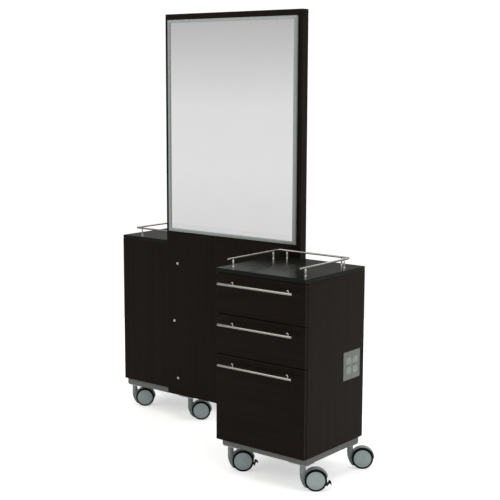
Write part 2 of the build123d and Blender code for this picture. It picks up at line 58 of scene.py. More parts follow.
# ---- Camera ---------------------------------------------------------------------------------------
CAMERA_OVER_WORKTOP = 0.7351
CAMERA_PLACE = Vector((3.0921, -3.7891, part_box("right_worktop")[1].z + CAMERA_OVER_WORKTOP))
CAMERA_YAW = radians(38.3676)
CAMERA_PITCH = radians(8.6012)
CAMERA_ROLL = radians(0.2053)
CAMERA_LENS = 81.43  # millimetres, on a sensor 36 wide
CAMERA_SENSOR = 36.0


def add_camera():
    ahead = Vector((-sin(CAMERA_YAW), cos(CAMERA_YAW), 0))
    forward = cos(CAMERA_PITCH) * ahead - sin(CAMERA_PITCH) * Vector((0, 0, 1))
    level = forward.cross(Vector((0, 0, 1))).normalized()
    right = cos(CAMERA_ROLL) * level + sin(CAMERA_ROLL) * level.cross(forward)
    up = right.cross(forward)
    data = bpy.data.cameras.new("camera")
    data.lens = CAMERA_LENS
    data.sensor_width = CAMERA_SENSOR
    camera = bpy.data.objects.new("camera", data)
    bpy.context.scene.collection.objects.link(camera)
    turn = Matrix((right, up, -forward)).transposed().to_4x4()
    camera.matrix_world = Matrix.Translation(CAMERA_PLACE) @ turn
    bpy.context.scene.camera = camera


# ---- Light and floor ------------------------------------------------------------------------------
# The studio's grey by height: upward part of a direction at the two ends of the ramp, then its stops.
STUDIO_FROM, STUDIO_TO = -0.20, 0.60
STUDIO_GREYS = ((0.0, 0.74), (0.09, 0.78), (0.15, 0.84), (0.22, 0.82), (0.31, 0.55),
                (0.37, 0.24), (0.44, 0.13), (0.62, 0.15), (1.0, 0.66))
BACKDROP_WHITE = 1.05
FLOOR_R = 2.6
FLOOR_SIDES = 96
FLOOR_TONES = ((0.3, (0.78, 0.78, 0.77)), (0.7, (0.82, 0.82, 0.81)))
FLOOR_GLOW = (0.55, 0.55, 0.55)  # added for the camera's direct rays only
# name, place, target, (width, height), watts, colour
LIGHTS = (
    ("key", (-2.6, -4.2, 4.2), (0.1, -0.2, 0.8), (3.0, 3.0), 60, (1.0, 0.99, 0.97)),
    ("fill", (4.6, -0.4, 3.6), (0.3, -0.1, 0.6), (2.6, 2.6), 40, (0.98, 0.99, 1.0)),
    ("rear", (0.0, 4.6, 4.2), (0.0, 0.2, 0.8), (3.0, 3.0), 60, (1, 1, 1)),
    ("overhead", (0.2, -0.2, 5.4), (0.2, -0.2, 0.0), (4.0, 4.0), 90, (1, 1, 1)),
)


def add_world():
    """White behind the object; what it is lit by and reflects is a studio, grey above and pale below."""
    world = bpy.data.worlds.new("studio")
    bpy.context.scene.world = world
    world.use_nodes = True
    tree = world.node_tree
    tree.nodes.clear()
    coords = tree.nodes.new("ShaderNodeTexCoord")
    axes = tree.nodes.new("ShaderNodeSeparateXYZ")
    height = tree.nodes.new("ShaderNodeMapRange")
    ramp = tree.nodes.new("ShaderNodeValToRGB")
    studio = tree.nodes.new("ShaderNodeBackground")
    backdrop = tree.nodes.new("ShaderNodeBackground")
    path = tree.nodes.new("ShaderNodeLightPath")
    mix = tree.nodes.new("ShaderNodeMixShader")
    out = tree.nodes.new("ShaderNodeOutputWorld")
    height.inputs["From Min"].default_value = STUDIO_FROM
    height.inputs["From Max"].default_value = STUDIO_TO
    set_stops(ramp, [(at, (grey, grey, grey)) for at, grey in STUDIO_GREYS])
    backdrop.inputs["Color"].default_value = (1, 1, 1, 1)
    backdrop.inputs["Strength"].default_value = BACKDROP_WHITE
    link = tree.links.new
    link(coords.outputs["Generated"], axes.inputs[0])
    link(axes.outputs["Z"], height.inputs["Value"])
    link(height.outputs["Result"], ramp.inputs["Fac"])
    link(ramp.outputs["Color"], studio.inputs["Color"])
    link(path.outputs["Is Camera Ray"], mix.inputs["Fac"])
    link(studio.outputs[0], mix.inputs[1])
    link(backdrop.outputs[0], mix.inputs[2])
    link(mix.outputs[0], out.inputs["Surface"])


def add_light(name, place, target, size, power, colour):
    data = bpy.data.lights.new(name, "AREA")
    data.shape = "RECTANGLE"
    data.size, data.size_y = size
    data.energy = power
    data.color = colour
    lamp = bpy.data.objects.new(name, data)
    bpy.context.scene.collection.objects.link(lamp)
    lamp.location = place
    lamp.rotation_euler = (Vector(target) - Vector(place)).to_track_quat("-Z", "Y").to_euler()


def add_floor():
    turns = [2 * pi * i / FLOOR_SIDES for i in range(FLOOR_SIDES)]
    rim = [(FLOOR_R * cos(turn), FLOOR_R * sin(turn), 0.0) for turn in turns]
    mesh = bpy.data.meshes.new("floor")
    mesh.from_pydata(rim, [], [list(range(FLOOR_SIDES))])
    floor = bpy.data.objects.new("floor", mesh)
    bpy.context.scene.collection.objects.link(floor)
    finish = Finish("floor", roughness=0.9, specular=0.1)
    finish.colour(finish.noise((3, 3, 3), 2), FLOOR_TONES)
    finish.shader.inputs["Emission Color"].default_value = (*FLOOR_GLOW, 1)
    seen = finish.tree.nodes.new("ShaderNodeLightPath")
    finish.tree.links.new(seen.outputs["Is Camera Ray"], finish.shader.inputs["Emission Strength"])
    mesh.materials.append(finish.material)


# ---- Materials ------------------------------------------------------------------------------------
SPREAD = (0.3, 0.7)
SOCKETS = {"metallic": "Metallic", "roughness": "Roughness", "specular": "Specular IOR Level"}


def set_stops(ramp, stops):
    """Gives a colour ramp its (position, colour) stops."""
    while len(ramp.color_ramp.elements) < len(stops):
        ramp.color_ramp.elements.new(0.5)
    for element, (at, tone) in zip(ramp.color_ramp.elements, stops):
        element.position = at
        element.color = (*tone, 1)


class Finish:
    """A material under construction: one Principled shader and short ways to feed it."""

    def __init__(self, name, **values):
        self.material = bpy.data.materials.new(name)
        self.material.use_nodes = True
        self.tree = self.material.node_tree
        self.shader = self.tree.nodes["Principled BSDF"]
        for word, value in values.items():
            self.shader.inputs[SOCKETS[word]].default_value = value

    def noise(self, stretch, detail=4.0, distortion=0.0):
        """Noise in the piece's own space; stretch is how many features fit in a metre along each axis."""
        coords = self.tree.nodes.new("ShaderNodeTexCoord")
        mapping = self.tree.nodes.new("ShaderNodeMapping")
        noise = self.tree.nodes.new("ShaderNodeTexNoise")
        mapping.inputs["Scale"].default_value = stretch
        noise.inputs["Scale"].default_value = 1.0
        noise.inputs["Detail"].default_value = detail
        noise.inputs["Distortion"].default_value = distortion
        self.tree.links.new(coords.outputs["Object"], mapping.inputs["Vector"])
        self.tree.links.new(mapping.outputs["Vector"], noise.inputs["Vector"])
        return noise.outputs["Fac"]

    def blend(self, first, second, share):
        mix = self.tree.nodes.new("ShaderNodeMix")
        mix.inputs["Factor"].default_value = share
        self.tree.links.new(first, mix.inputs["A"])
        self.tree.links.new(second, mix.inputs["B"])
        return mix.outputs["Result"]

    def colour(self, source, stops):
        ramp = self.tree.nodes.new("ShaderNodeValToRGB")
        set_stops(ramp, stops)
        self.tree.links.new(source, ramp.inputs["Fac"])
        self.tree.links.new(ramp.outputs["Color"], self.shader.inputs["Base Color"])

    def vary(self, word, source, low, high):
        """Lets a socket run from low to high with the source, whose values lie mostly within SPREAD."""
        spread = self.tree.nodes.new("ShaderNodeMapRange")
        spread.inputs["From Min"].default_value = SPREAD[0]
        spread.inputs["From Max"].default_value = SPREAD[1]
        spread.inputs["To Min"].default_value = low
        spread.inputs["To Max"].default_value = high
        self.tree.links.new(source, spread.inputs["Value"])
        self.tree.links.new(spread.outputs["Result"], self.shader.inputs[SOCKETS[word]])

    def bump(self, source, strength, depth):
        bump = self.tree.nodes.new("ShaderNodeBump")
        bump.inputs["Strength"].default_value = strength
        bump.inputs["Distance"].default_value = depth
        self.tree.links.new(source, bump.inputs["Height"])
        self.tree.links.new(bump.outputs["Normal"], self.shader.inputs["Normal"])


# The laminate's dark, middle and light tones, and where they stand in the grain.
GRAIN_STOPS = (0.34, 0.50, 0.64)
ESPRESSO = ((0.0046, 0.0026, 0.0018), (0.0068, 0.0042, 0.0030), (0.0092, 0.0058, 0.0040))
# The worktop's tones: the espresso greyed and greened, a painted greenish sheen that stands for the
# mirror's reflection in the top.
GREENED_SHEEN_ESPRESSO = ((0.0062, 0.0070, 0.0054), (0.0082, 0.0090, 0.0070), (0.0102, 0.0110, 0.0086))
BIRCH_TONES = ((0.35, (0.47, 0.34, 0.21)), (0.65, (0.66, 0.53, 0.37)))
MIRROR_TONES = ((0.35, (0.862, 0.864, 0.862)), (0.65, (0.872, 0.873, 0.872)))
TWO_TONES = (0.35, 0.65)  # where a darker and a lighter tone stand in a noise
SILVER = (0.39, 0.42, 0.405)


def along(axis, fine, coarse):
    """Stretch for marks that run along one axis."""
    stretch = [fine, fine, fine]
    stretch["xyz".index(axis)] = coarse
    return stretch


def espresso(name, axis, specular, rough, relief, tint, tones=ESPRESSO):
    """Near-black brown laminate, its grain running along one axis, with the bounds of its roughness."""
    finish = Finish(name, specular=specular)
    finish.shader.inputs["Specular Tint"].default_value = (*tint, 1)
    cathedral = finish.noise(along(axis, 38, 1.6), 5, 0.6)
    pores = finish.noise(along(axis, 620, 14), 3)
    grain = finish.blend(cathedral, pores, 0.35)
    finish.colour(grain, tuple(zip(GRAIN_STOPS, tones)))
    finish.vary("roughness", pores, *rough)
    finish.bump(pores, relief, 0.00025)
    return finish.material


def birch():
    """Pale lacquered board, its grain running along the drawers."""
    finish = Finish("birch_board", specular=0.4)
    rings = finish.noise(along("y", 42, 2.2), 5, 0.8)
    fibres = finish.noise(along("y", 700, 18), 3)
    finish.colour(finish.blend(rings, fibres, 0.4), BIRCH_TONES)
    finish.vary("roughness", fibres, 0.42, 0.56)
    finish.bump(fibres, 0.25, 0.0002)
    return finish.material


def brushed(name, tone, axis, rough, contrast=0.12, metallic=1.0):
    """Metal with fine lines drawn along one axis."""
    finish = Finish(name, metallic=metallic)
    lines = finish.noise(along(axis, 2600, 26), 4)
    clouds = finish.noise((22, 22, 22), 2)
    marks = finish.blend(lines, clouds, 0.3)
    dark = [channel * (1 - contrast) for channel in tone]
    finish.colour(marks, tuple(zip(TWO_TONES, (dark, tone))))
    finish.vary("roughness", lines, rough * 0.8, rough * 1.2)
    finish.bump(lines, 0.10, 0.00008)
    return finish.material


def moulded(name, tone, rough, grain=1500, metallic=0.0, specular=0.5):
    """Plastic or powder coat: an even tone, faintly clouded, with a fine skin texture."""
    finish = Finish(name, metallic=metallic, specular=specular)
    skin = finish.noise((grain, grain, grain), 3)
    clouds = finish.noise((30, 30, 30), 3)
    dark = [channel * 0.88 for channel in tone]
    finish.colour(finish.blend(clouds, skin, 0.35), tuple(zip(TWO_TONES, (dark, tone))))
    finish.vary("roughness", skin, rough * 0.88, rough * 1.12)
    finish.bump(skin, 0.12, 0.00012)
    return finish.material


def silvering():
    """Mirror glass: a clean reflection with the faintest haze."""
    finish = Finish("mirror_glass", metallic=1.0)
    haze = finish.noise((9, 9, 9), 3)
    finish.colour(haze, MIRROR_TONES)
    finish.vary("roughness", haze, 0.012, 0.03)
    return finish.material


WOOD_UPRIGHT = espresso("espresso_upright", "z", 0.10, (0.36, 0.48), 0.20, tint=(1.0, 0.86, 0.72))
WOOD_ACROSS = espresso("espresso_across", "x", 0.10, (0.36, 0.48), 0.20, tint=(1.0, 0.84, 0.70))
# The worktop's specular tint is greened: a painted green on its reflections that stands for the mirror
# reflected in it. Its tones carry the same painted greenish sheen.
WOOD_TOP = espresso("espresso_worktop", "x", 0.09, (0.17, 0.23), 0.03, (0.82, 1.0, 0.88), GREENED_SHEEN_ESPRESSO)
BIRCH = birch()
MIRROR = silvering()
FRAME_SILVER = brushed("satin_silver", SILVER, "z", 0.36, metallic=0.15)
FRAME_SILVER_ACROSS = brushed("satin_silver_across", SILVER, "x", 0.36, metallic=0.15)
# The bars' brushed steel is a darkened copy of the posts' steel: painted shade that stands for the dark
# reflections along the bars' undersides.
SHADED_STEEL_X = brushed("brushed_steel_x_painted_shade", (0.40, 0.38, 0.345), "x", 0.18)
STEEL_Z = brushed("brushed_steel_z", (0.78, 0.77, 0.74), "z", 0.20)
NICKEL = brushed("satin_nickel", (0.66, 0.65, 0.62), "y", 0.30)
ZINC = brushed("zinc_plate", (0.55, 0.57, 0.58), "y", 0.38, contrast=0.25)
PLATE_STEEL = brushed("plate_steel", (0.26, 0.275, 0.25), "z", 0.40)
SILVER_PAINT = moulded("silver_paint", (0.195, 0.200, 0.186), 0.50, 1300, metallic=0.3)
SOCKET_GREY = moulded("socket_grey", (0.35, 0.40, 0.37), 0.28, 1800)
CASTER_GREY = moulded("caster_grey", (0.265, 0.305, 0.292), 0.36, 1500, specular=0.5)
DISC_GREY = moulded("disc_grey", (0.46, 0.545, 0.53), 0.38, 1500, specular=0.3)
TYRE_BLACK = moulded("tyre_rubber", (0.0030, 0.0055, 0.0052), 0.62, 1100, specular=0.12)
LEVER_BLACK = moulded("lever_black", (0.005, 0.006, 0.006), 0.36, 1600, specular=0.2)


def dress(finish, *nodes):
    """Gives CAD nodes a finish."""
    for node in nodes:
        for slot in frame["nodes"][node].material_slots:
            slot.material = finish


# ---- Mesh helpers ---------------------------------------------------------------------------------
def put(name, shape, finish, body, replaced=(), place=None, sharp=32):
    """Puts a shape in the scene as a piece that rides on a body and stands for CAD nodes."""
    mesh = to_mesh(name, shape) if isinstance(shape, bmesh.types.BMesh) else shape
    mesh.materials.clear()
    mesh.materials.append(finish)
    mesh.shade_smooth()
    mesh.set_sharp_from_angle(angle=radians(sharp))
    made = bpy.data.objects.new(name, mesh)
    bpy.context.scene.collection.objects.link(made)
    if place is not None:
        made.matrix_world = place
    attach(made, body)
    if replaced:
        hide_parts(*replaced)
    return made


def to_mesh(name, bm):
    bmesh.ops.recalc_face_normals(bm, faces=bm.faces)
    mesh = bpy.data.meshes.new(name)
    bm.to_mesh(mesh)
    bm.free()
    return mesh


def arc(centre, radius, start, stop, steps):
    """Points on a circle between two angles in degrees, both ends included."""
    angles = [radians(start + (stop - start) * i / steps) for i in range(steps + 1)]
    return [(centre[0] + radius * cos(a), centre[1] + radius * sin(a)) for a in angles]


def rounded_box(low, high, radius, steps=3):
    """Corner points of a rectangle with rounded corners."""
    (x0, y0), (x1, y1) = low, high
    corners = ((x1 - radius, y1 - radius, 0), (x0 + radius, y1 - radius, 90),
               (x0 + radius, y0 + radius, 180), (x1 - radius, y0 + radius, 270))
    return [point for x, y, turn in corners for point in arc((x, y), radius, turn, turn + 90, steps)]


def full_turn(segments):
    """Angles of evenly spaced points round a circle."""
    return [2 * pi * i / segments for i in range(segments)]


def skin_rings(bm, rings, segments):
    """Faces between neighbouring rings of points; a ring of one point is a pole."""
    for lower, upper in zip(rings, rings[1:]):
        for i in range(segments):
            j = (i + 1) % segments
            corners = [lower[i % len(lower)], lower[j % len(lower)]]
            corners += [upper[j % len(upper)], upper[i % len(upper)]]
            corners = [corner for k, corner in enumerate(corners) if corner not in corners[:k]]
            bm.faces.new(corners)


def lathe(bm, profile, place, segments=48):
    """Turns (radius, height) points round the local Z axis; a radius of 0 closes that end."""
    rings = []
    for radius, height in profile:
        turns = full_turn(segments) if radius else [0.0]
        points = [Vector((radius * cos(t), radius * sin(t), height)) for t in turns]
        rings.append([bm.verts.new(place @ point) for point in points])
    skin_rings(bm, rings, segments)


def closed_lathe(bm, profile, place, segments=72):
    """Turns a closed loop of (radius, height) points into a ring."""
    turns = full_turn(segments)
    rings = [[bm.verts.new(place @ Vector((r * cos(t), r * sin(t), h))) for t in turns] for r, h in profile]
    for k in range(len(rings)):
        lower, upper = rings[k], rings[(k + 1) % len(rings)]
        for i in range(segments):
            j = (i + 1) % segments
            bm.faces.new((lower[i], lower[j], upper[j], upper[i]))


def prism(bm, outline, low, high, place=Matrix.Identity(4)):
    """A closed solid: an outline in the local XZ plane, from low to high along Y."""
    near = [bm.verts.new(place @ Vector((x, low, z))) for x, z in outline]
    far = [bm.verts.new(place @ Vector((x, high, z))) for x, z in outline]
    bm.faces.new(near)
    bm.faces.new(list(reversed(far)))
    for i in range(len(outline)):
        j = (i + 1) % len(outline)
        bm.faces.new((near[j], near[i], far[i], far[j]))


# A bar's domed end: (share of its radius, share of its radius ahead of the end).
DOME = ((0.0, 1.0), (0.35, 0.94), (0.7, 0.71), (0.92, 0.38))


def sweep_tube(bm, path, radius, segments=20):
    """A round bar along a level path of points, with domed ends."""
    last = len(path) - 1
    stations = [(path[0], path[1] - path[0], -ahead * radius, share) for share, ahead in DOME]
    for i, point in enumerate(path):
        stations.append((point, path[min(i + 1, last)] - path[max(i - 1, 0)], 0.0, 1.0))
    stations += [(path[-1], path[-1] - path[-2], ahead * radius, share) for share, ahead in reversed(DOME)]
    rings = []
    for point, heading, ahead, share in stations:
        heading = heading.normalized()
        side = heading.cross(Vector((0, 0, 1))).normalized()
        up = side.cross(heading)
        middle = point + heading * ahead
        turns = full_turn(segments) if share else [0.0]
        rings.append([bm.verts.new(middle + radius * share * (cos(t) * side + sin(t) * up)) for t in turns])
    skin_rings(bm, rings, segments)


MITRE_GAP = 0.08 * MM


def mitred_bar(bm, section, across, half, place):
    """One bar of a frame: its section is (inset, height) points, and both ends are cut at 45 degrees."""
    ends = []
    for way in (-1, 1):
        points = [Vector((across - inset, way * (half - inset - MITRE_GAP), off)) for inset, off in section]
        ends.append([bm.verts.new(place @ point) for point in points])
    bm.faces.new(ends[0])
    bm.faces.new(list(reversed(ends[1])))
    for i in range(len(section)):
        j = (i + 1) % len(section)
        bm.faces.new((ends[0][j], ends[0][i], ends[1][i], ends[1][j]))


def both_halves():
    """The right half as it is, and the left half as its half turn."""
    return (("right", Matrix.Identity(4)), ("left", HALF_TURN))


# ---- Mirror frames --------------------------------------------------------------------------------
# The moulding's section in shares of its depth: in from its outer edge, and off the panel.
LIP_R = 1.5 * MM
LIP_FROM = 0.62
LIP_CENTRE = 0.74
LIP_ARC = (180, 75)
COVE = ((0.30, 0.80), (0.42, 0.88), (0.50, 0.985))
INNER_STRIP = ((0.56, 1.0), (0.93, 1.0), (1.0, 0.93), (1.0, 0.12))


def mirror_frames():
    """Silver moulding: a flat inner strip beside the glass and a cove down to a rolled outer edge."""
    low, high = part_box("front_mirror_frame")
    depth = high.y - low.y
    section = [(0.0, 0.0), (0.0, depth * LIP_FROM)]
    section += arc((LIP_R, depth * LIP_CENTRE), LIP_R, *LIP_ARC, 5)
    section += [(depth * inward, depth * off) for inward, off in COVE + INNER_STRIP]
    half_w, half_h = (high.x - low.x) / 2, (high.z - low.z) / 2
    back = Vector(((low.x + high.x) / 2, high.y, (low.z + high.z) / 2))
    upright = Matrix.Translation(back) @ Matrix.Rotation(pi / 2, 4, "X")
    bars = (("sides", FRAME_SILVER, (0, 180), (half_w, half_h)),
            ("ends", FRAME_SILVER_ACROSS, (90, 270), (half_h, half_w)))
    for node, turn in (("front_mirror_frame", Matrix.Identity(4)), ("rear_mirror_frame", HALF_TURN)):
        for word, finish, spins, (across, half) in bars:
            bm = bmesh.new()
            for spin in spins:
                spun = turn @ upright @ Matrix.Rotation(radians(spin), 4, "Z")
                mitred_bar(bm, section, across, half, spun)
            put(f"{node}_{word}", bm, finish, "station", (node,), sharp=25)


# ---- Base frames ----------------------------------------------------------------------------------
BASE_CORNER_R = 2.6 * MM


def base_frames():
    """Square tube with rolled corners, welded at its mitres."""
    low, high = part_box("right_base_frame")
    half_w, half_d, tall = (high.x - low.x) / 2, (high.y - low.y) / 2, high.z - low.z
    middle = Matrix.Translation(((low.x + high.x) / 2, (low.y + high.y) / 2, low.z))
    section = rounded_box((0, 0), (tall, tall), BASE_CORNER_R)
    bars = ((0, half_w, half_d), (90, half_d, half_w), (180, half_w, half_d), (270, half_d, half_w))
    for half, turn in both_halves():
        bm = bmesh.new()
        for spin, across, run in bars:
            spun = turn @ middle @ Matrix.Rotation(radians(spin), 4, "Z")
            mitred_bar(bm, section, across, run, spun)
        put(f"{half}_base_tubes", bm, SILVER_PAINT, "station", (f"{half}_base_frame",))


# ---- Handles --------------------------------------------------------------------------------------
BAR_EASE = 1.2 * MM
POST_R = 4 * MM
POST_STEP = 135 * MM  # from the middle of the bar
FLANGE_R = 6.5 * MM
FLANGE_EDGE = (1.2 * MM, 1.8 * MM)  # heights where the flange's eased edge begins and ends
FLANGE_EASE = 0.6 * MM
FLARE = (2 * MM, 3 * MM)  # how far the post widens towards the flange, and over what height
FLARE_STEPS = (20, 45, 70, 90)  # degrees round the flare
POST_SHORT = 1 * MM  # post end below the middle of the bar


def handle_bar(low, high):
    """(radius, height) of a bar with eased ends, as long as the box between two corners is wide."""
    radius = (high.z - low.z) / 2
    length = high.x - low.x
    end = [(0, 0), (radius - BAR_EASE, 0)]
    end += [(radius - BAR_EASE + r, h) for r, h in arc((0, BAR_EASE), BAR_EASE, -60, 0, 3)]
    return end + [(r, length - h) for r, h in reversed(end)]


def handle_post(reach):
    """(radius, height) of a post that flares where it meets the drawer."""
    edge, top = FLANGE_EDGE
    post = [(0, 0), (FLANGE_R, 0), (FLANGE_R, edge), (FLANGE_R - FLANGE_EASE, top)]
    for step in FLARE_STEPS:
        angle = radians(step)
        post.append((POST_R + FLARE[0] * (1 - sin(angle)), top + FLARE[1] * (1 - cos(angle))))
    return post + [(POST_R, reach - POST_SHORT), (0, reach - POST_SHORT)]


def drawer_handles():
    """Straight round bars on two posts each."""
    for half, turn in both_halves():
        for drawer in ("top", "middle", "bottom"):
            low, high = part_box(f"right_{drawer}_drawer_handle")
            body, node = f"{half}_{drawer}_drawer", f"{half}_{drawer}_drawer_handle"
            middle, level = (low.x + high.x) / 2, (low.z + high.z) / 2
            bar_y = low.y + (high.z - low.z) / 2
            bm = bmesh.new()
            start = Matrix.Translation((low.x, bar_y, level)) @ Matrix.Rotation(pi / 2, 4, "Y")
            lathe(bm, handle_bar(low, high), turn @ start, 36)
            # The bar takes the darkened steel, with its painted shade.
            put(f"{half}_{drawer}_handle_bar", bm, SHADED_STEEL_X, body, (node,))
            bm = bmesh.new()
            for way in (-1, 1):
                foot = Matrix.Translation((middle + way * POST_STEP, high.y, level))
                foot = foot @ Matrix.Rotation(pi / 2, 4, "X")
                lathe(bm, handle_post(high.y - bar_y), turn @ foot, 32)
            put(f"{half}_{drawer}_handle_posts", bm, NICKEL, body)


# ---- Gallery rails --------------------------------------------------------------------------------
TUBE_R = 4 * MM
TUBE_BEND = 14 * MM
TUBE_START = 3.2 * MM  # straight part's end behind the domed tip
COLLAR_R = 5.25 * MM
STEM_R = 3.25 * MM
POSTS_FROM_FRONT = 35 * MM
POSTS_FROM_BACK = 41 * MM
POSTS_FROM_SIDE = 40 * MM
COLLAR = ((0, 0), (COLLAR_R, 0), (COLLAR_R, 1.3 * MM), (COLLAR_R - 0.6 * MM, 2 * MM),
          (STEM_R + 0.5 * MM, 2.2 * MM), (STEM_R, 3 * MM))


def gallery_rails():
    """A bent round bar, open to the front, on six posts with turned collars that stand proud of it."""
    low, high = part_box("right_gallery_rail")
    left, right = low.x + COLLAR_R, high.x - COLLAR_R
    front, back = low.y, high.y - COLLAR_R
    level = high.z - TUBE_R
    halfway = (front + back) / 2
    path = [(left, front + TUBE_START), (left, halfway)]
    path += arc((left + TUBE_BEND, back - TUBE_BEND), TUBE_BEND, 180, 90, 8)
    path += [((left + right) / 2, back)]
    path += arc((right - TUBE_BEND, back - TUBE_BEND), TUBE_BEND, 90, 0, 8)
    path += [(right, halfway), (right, front + TUBE_START)]
    posts = [(x, y) for x in (left, right) for y in (front + POSTS_FROM_FRONT, back - POSTS_FROM_BACK)]
    posts += [(left + POSTS_FROM_SIDE, back), (right - POSTS_FROM_SIDE, back)]
    rise = level - low.z - TUBE_R / 2
    for half, turn in both_halves():
        node = f"{half}_gallery_rail"
        bm = bmesh.new()
        sweep_tube(bm, [turn @ Vector((x, y, level)) for x, y in path], TUBE_R, 24)
        # The tube takes the darkened steel, with its painted shade.
        put(f"{half}_gallery_tube", bm, SHADED_STEEL_X, "station", (node,))
        bm = bmesh.new()
        for x, y in posts:
            lathe(bm, COLLAR + ((STEM_R, rise), (0, rise)), turn @ Matrix.Translation((x, y, low.z)), 32)
        put(f"{half}_gallery_posts", bm, STEEL_Z, "station", (node,))


# ---- Casters --------------------------------------------------------------------------------------
WHEEL_R = JOINTS["right_front_outer_roll"]["pos_m"][2]
WHEEL_IN, WHEEL_OUT = 7 * MM, 19 * MM  # a wheel's two faces, from the caster's middle plane
DISC_R = WHEEL_R - 7.5 * MM
AXLE_R = 4 * MM
AXLE_END = WHEEL_IN + 1.5 * MM
LEG_R = 11.5 * MM
LEG_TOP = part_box("right_front_outer_caster_fork")[1].z
LEG_EASE = 1 * MM
LEG_BEND = LEG_TOP - 38 * MM  # where the leg's straight back edge turns into an arc
LEG_BACK_R = 78 * MM
LEG_BACK_SWEEP = (180, 224)  # degrees, as are the next three
CHIN_SWEEP = (245, 335)
SHOULDER_END, HOOD_END = 136, 138
HOOD_START = {"braked": 18, "plain": 2}
SHOULDER_UP = 4 * MM
CHIN_R = WHEEL_R - 5 * MM
HOOD_IN, HOOD_OUT = WHEEL_R + 1.5 * MM, WHEEL_R + 5.5 * MM
HOOD_HALF = 13 * MM
HOOD_FLAT = 0.7  # share of the hood's width at full height
HOOD_DROP = 1.2 * MM  # at its edges
HOOD_LAP = 0.2 * MM  # of its strips over each other
WEB_HALF = 6 * MM
CHEEK_IN = 3.5 * MM
CHEEK_R = 6 * MM
STRUT_REACH, STRUT_LOW, STRUT_HIGH = 13 * MM, 4 * MM, 5.5 * MM  # from the lever's pin
VOXEL = 0.8 * MM

TYRE_SHORT = 0.5 * MM  # tyre's outer face inside the disc's
TYRE_EDGE = 2.5 * MM
TYRE_LIP = 0.6 * MM
TREAD_GROOVES = (0.36, 0.50, 0.64)  # shares of the tyre's width
GROOVE_HALF, GROOVE_FLOOR_HALF, GROOVE_DEEP = 0.5 * MM, 0.2 * MM, 0.6 * MM
DISC_RIM_R = 1.2 * MM
DISC_RIM_DOWN = 1.6 * MM
# The disc's face inside its rim: (in from its edge, below its top), then the same from its centre.
DISC_GROOVE = ((2.6, 0.45), (3.2, 1.0), (3.9, 1.0), (4.5, 0.6))
DISC_DOME = ((20, 0.18), (8, 0.0), (0, 0.0))

LEVER_TILT = {True: 20, False: -6}  # degrees down for a pressed and a released lever
BARREL_R, BARREL_HALF = 5 * MM, 3 * MM
ARM = ((0, -3), (11.5, -3), (11.5, 4), (0, 4))  # (reach, height) from the pin in mm, as are the next
PEDAL_HOOK = ((8.4, 10.5), (9.4, 12.8), (12.5, 14.3), (16, 13.6), (19, 11.2), (21.4, 7.6),
              (23.3, 3.2), (22.5, 1.8))
PEDAL_PALM = ((19.2, 4.6), (15.8, 6.0), (13.2, 4), (12.2, 0), (11.2, -4), (8.8, -7.8))
PEDAL_HEEL = ((5, -7.8), (5.9, -4), (7.3, 2), (8.1, 8))
PEDAL_RIBS = ((13, 14), (16.6, 12.9), (19.6, 10.2))
ARM_HALF, PEDAL_HALF, RIB_HALF = 2.9 * MM, 9 * MM, 7.4 * MM
RIB_R = 0.9 * MM
PEDAL_EASE = 0.7 * MM


def caster_place(name):
    """The caster's own frame: swivel axis at the origin on the floor, wheels trailing along +X."""
    swivel, roll = Vector(JOINTS[f"{name}_swivel"]["pos_m"]), Vector(JOINTS[f"{name}_roll"]["pos_m"])
    trail = hypot(roll.x - swivel.x, roll.y - swivel.y)
    swung = atan2(roll.y - swivel.y, roll.x - swivel.x)
    return Matrix.Translation((swivel.x, swivel.y, 0)) @ Matrix.Rotation(swung, 4, "Z"), trail


def fork_mesh(name, trail, hood_start, pin):
    """Leg, web and hood run into each other like one moulding; pin is the brake lever's, or None."""
    axle = (trail, WHEEL_R)
    bm = bmesh.new()
    back = [(LEG_BACK_R - LEG_R + x, z) for x, z in arc((0, LEG_BEND), LEG_BACK_R, *LEG_BACK_SWEEP, 10)]
    chin = arc(axle, CHIN_R, *CHIN_SWEEP, 16)
    shoulder = arc(axle, HOOD_OUT, hood_start, SHOULDER_END, 20)
    web = [(LEG_R, LEG_TOP), (-LEG_R, LEG_TOP)] + back + chin + shoulder
    web += [(LEG_R, shoulder[-1][1] + SHOULDER_UP)]
    prism(bm, web, -WEB_HALF, WEB_HALF)
    crown = (-HOOD_HALF, -HOOD_HALF * HOOD_FLAT, HOOD_HALF * HOOD_FLAT, HOOD_HALF)
    for low, high in zip(crown, crown[1:]):
        at_edge = HOOD_HALF in (-low, high)
        top = HOOD_OUT - HOOD_DROP / 2 if at_edge else HOOD_OUT
        cover = arc(axle, HOOD_IN, hood_start, HOOD_END, 24)
        cover += reversed(arc(axle, top, hood_start, HOOD_END, 24))
        prism(bm, cover, low - HOOD_LAP, high + HOOD_LAP)
    leg = [(0, LEG_BEND), (LEG_R, LEG_BEND), (LEG_R, LEG_TOP - LEG_EASE), (LEG_R - LEG_EASE, LEG_TOP)]
    lathe(bm, leg + [(0, LEG_TOP)], Matrix.Identity(4), 48)
    if pin is not None:
        x, z = pin
        cheek = arc(pin, CHEEK_R, 0, 360, 24)[:-1]
        strut = [(x - STRUT_REACH, z - STRUT_LOW), (x, z - STRUT_LOW), (x, z + STRUT_HIGH),
                 (x - STRUT_REACH, z + STRUT_HIGH)]
        for low, high in ((-WEB_HALF, -CHEEK_IN), (CHEEK_IN, WEB_HALF)):
            prism(bm, cheek, low, high)
            prism(bm, strut, low, high)
    return melted(name, bm)


